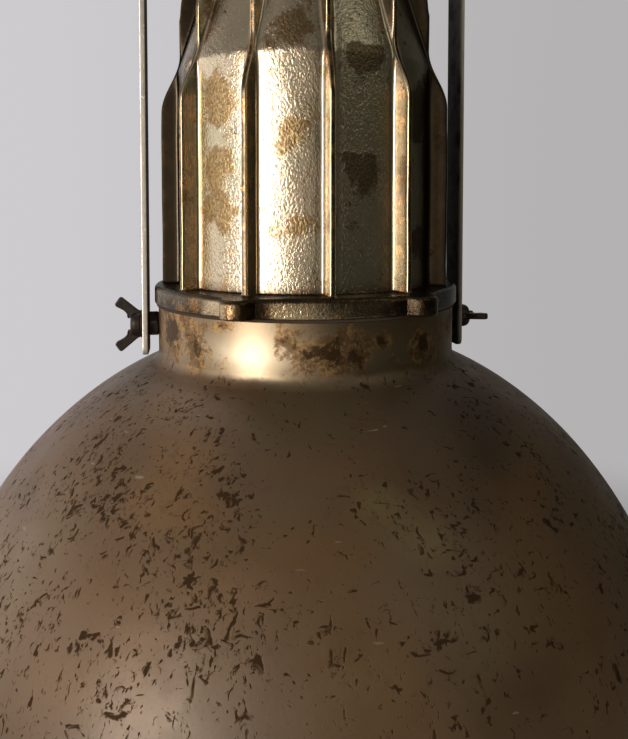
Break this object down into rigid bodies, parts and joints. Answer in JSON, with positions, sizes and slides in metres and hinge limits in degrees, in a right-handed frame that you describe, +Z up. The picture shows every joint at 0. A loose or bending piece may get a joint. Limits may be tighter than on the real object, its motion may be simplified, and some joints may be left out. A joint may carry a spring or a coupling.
{
  "type": "pendant barn lamp",
  "caption": "Industrial pendant lamp: ribbed cast housing and wide dome shade tilting between the arms of a tall flat-bar yoke with wing nuts, under a swivelling hanging eye.",
  "frame": {"origin": "centre of the hanging eye's hole", "axes": "+Z up, away from the shade; the yoke's arms lie on X, and the eye's hole runs along Y"},
  "size_m": [0.4235, 0.4236, 0.4956],
  "materials": {
    "cast": "aged cast alloy with a worn gold-bronze finish and rust-brown patches",
    "shade_enamel": "satin brown-taupe, flecked and patchy",
    "skirt_enamel": "satin brown, darker along the rolled edge",
    "strap_steel": "aged brass-tan steel bar with speckled edges",
    "dark_steel": "dark brown-black blued steel",
    "eye_steel": "forged steel, brown patina",
    "gland_brass": "aged brass",
    "contact_brass": "clean brass",
    "zinc_plate": "zinc-plated",
    "porcelain": "white glaze",
    "black_glass": "black vitrite",
    "gasket_rubber": "dark rubber",
    "bulb_glass": "clear, faintly warm",
    "bulb_nickel": "plated brass",
    "tungsten": "grey wire",
    "lead_brown": "insulated, brown",
    "lead_blue": "insulated, blue",
    "lead_green": "insulated, green-yellow"
  },
  "bodies": {
    "eye": {"hang_eye": "eye_steel", "swivel_washers": "strap_steel", "eye_lock_nut": "dark_steel"},
    "yoke": {"yoke_strap": "strap_steel"},
    "left_washer": {"left_outer_washer": "strap_steel"},
    "right_washer": {"right_outer_washer": "strap_steel"},
    "left_wing": {"left_wing_nut": "dark_steel"},
    "right_wing": {"right_wing_nut": "dark_steel"},
    "bulb": {"bulb_glass": "bulb_glass", "bulb_cap": "bulb_nickel", "bulb_insulator": "black_glass", "bulb_stem": "bulb_glass", "bulb_filament": "tungsten"},
    "head": {"left_pivot_bolt": "dark_steel", "right_pivot_bolt": "dark_steel", "left_inner_washer": "strap_steel", "right_inner_washer": "strap_steel", "left_spacer_nut": "dark_steel", "right_spacer_nut": "dark_steel", "ribbed_housing": "cast", "neck_gasket": "gasket_rubber", "dome_shade": "shade_enamel", "rim_skirt": "skirt_enamel", "top_cap": "cast", "cap_gasket": "gasket_rubber", "cap_screws": "dark_steel", "gland_body": "gland_brass", "gland_washer": "gasket_rubber", "gland_seal": "gasket_rubber", "gland_nut": "gland_brass", "gland_locknut": "gland_brass", "holder_plate": "zinc_plate", "plate_screws": "zinc_plate", "lampholder": "porcelain", "holder_screws": "zinc_plate", "screw_shell": "contact_brass", "centre_contact": "contact_brass", "terminal_block": "porcelain", "terminal_screws": "contact_brass", "live_lead": "lead_brown", "neutral_lead": "lead_blue", "earth_lead": "lead_green", "earth_screw": "contact_brass"}
  },
  "joints": [
    {"name": "yoke_swivel", "type": "hinge", "parent": "eye", "child": "yoke", "pos_m": [0, 0, -0.0266], "axis": [0, 0, 1], "continuous": true},
    {"name": "head_tilt", "type": "hinge", "parent": "yoke", "child": "head", "pos_m": [0, 0, -0.2886], "axis": [1, 0, 0], "range_deg": [-90, 90]},
    {"name": "left_nut_travel", "type": "slide", "parent": "head", "child": "left_washer", "axis": [-1, 0, 0], "range_m": [0, 0.0026]},
    {"name": "left_nut_turn", "type": "hinge", "parent": "left_washer", "child": "left_wing", "pos_m": [-0.1, 0, -0.2886], "axis": [-1, 0, 0], "range_deg": [0, 720]},
    {"name": "right_nut_travel", "type": "slide", "parent": "head", "child": "right_washer", "axis": [1, 0, 0], "range_m": [0, 0.0026]},
    {"name": "right_nut_turn", "type": "hinge", "parent": "right_washer", "child": "right_wing", "pos_m": [0.1, 0, -0.2886], "axis": [1, 0, 0], "range_deg": [0, 720]},
    {"name": "bulb_unscrew", "type": "slide", "parent": "head", "child": "bulb", "axis": [0, 0, -1], "range_m": [0, 0.03]}
  ],
  "couplings": [
    {"joint": "left_nut_travel", "follows": "left_nut_turn", "m_per_rad": 0.00019894},
    {"joint": "right_nut_travel", "follows": "right_nut_turn", "m_per_rad": 0.00019894}
  ]
}
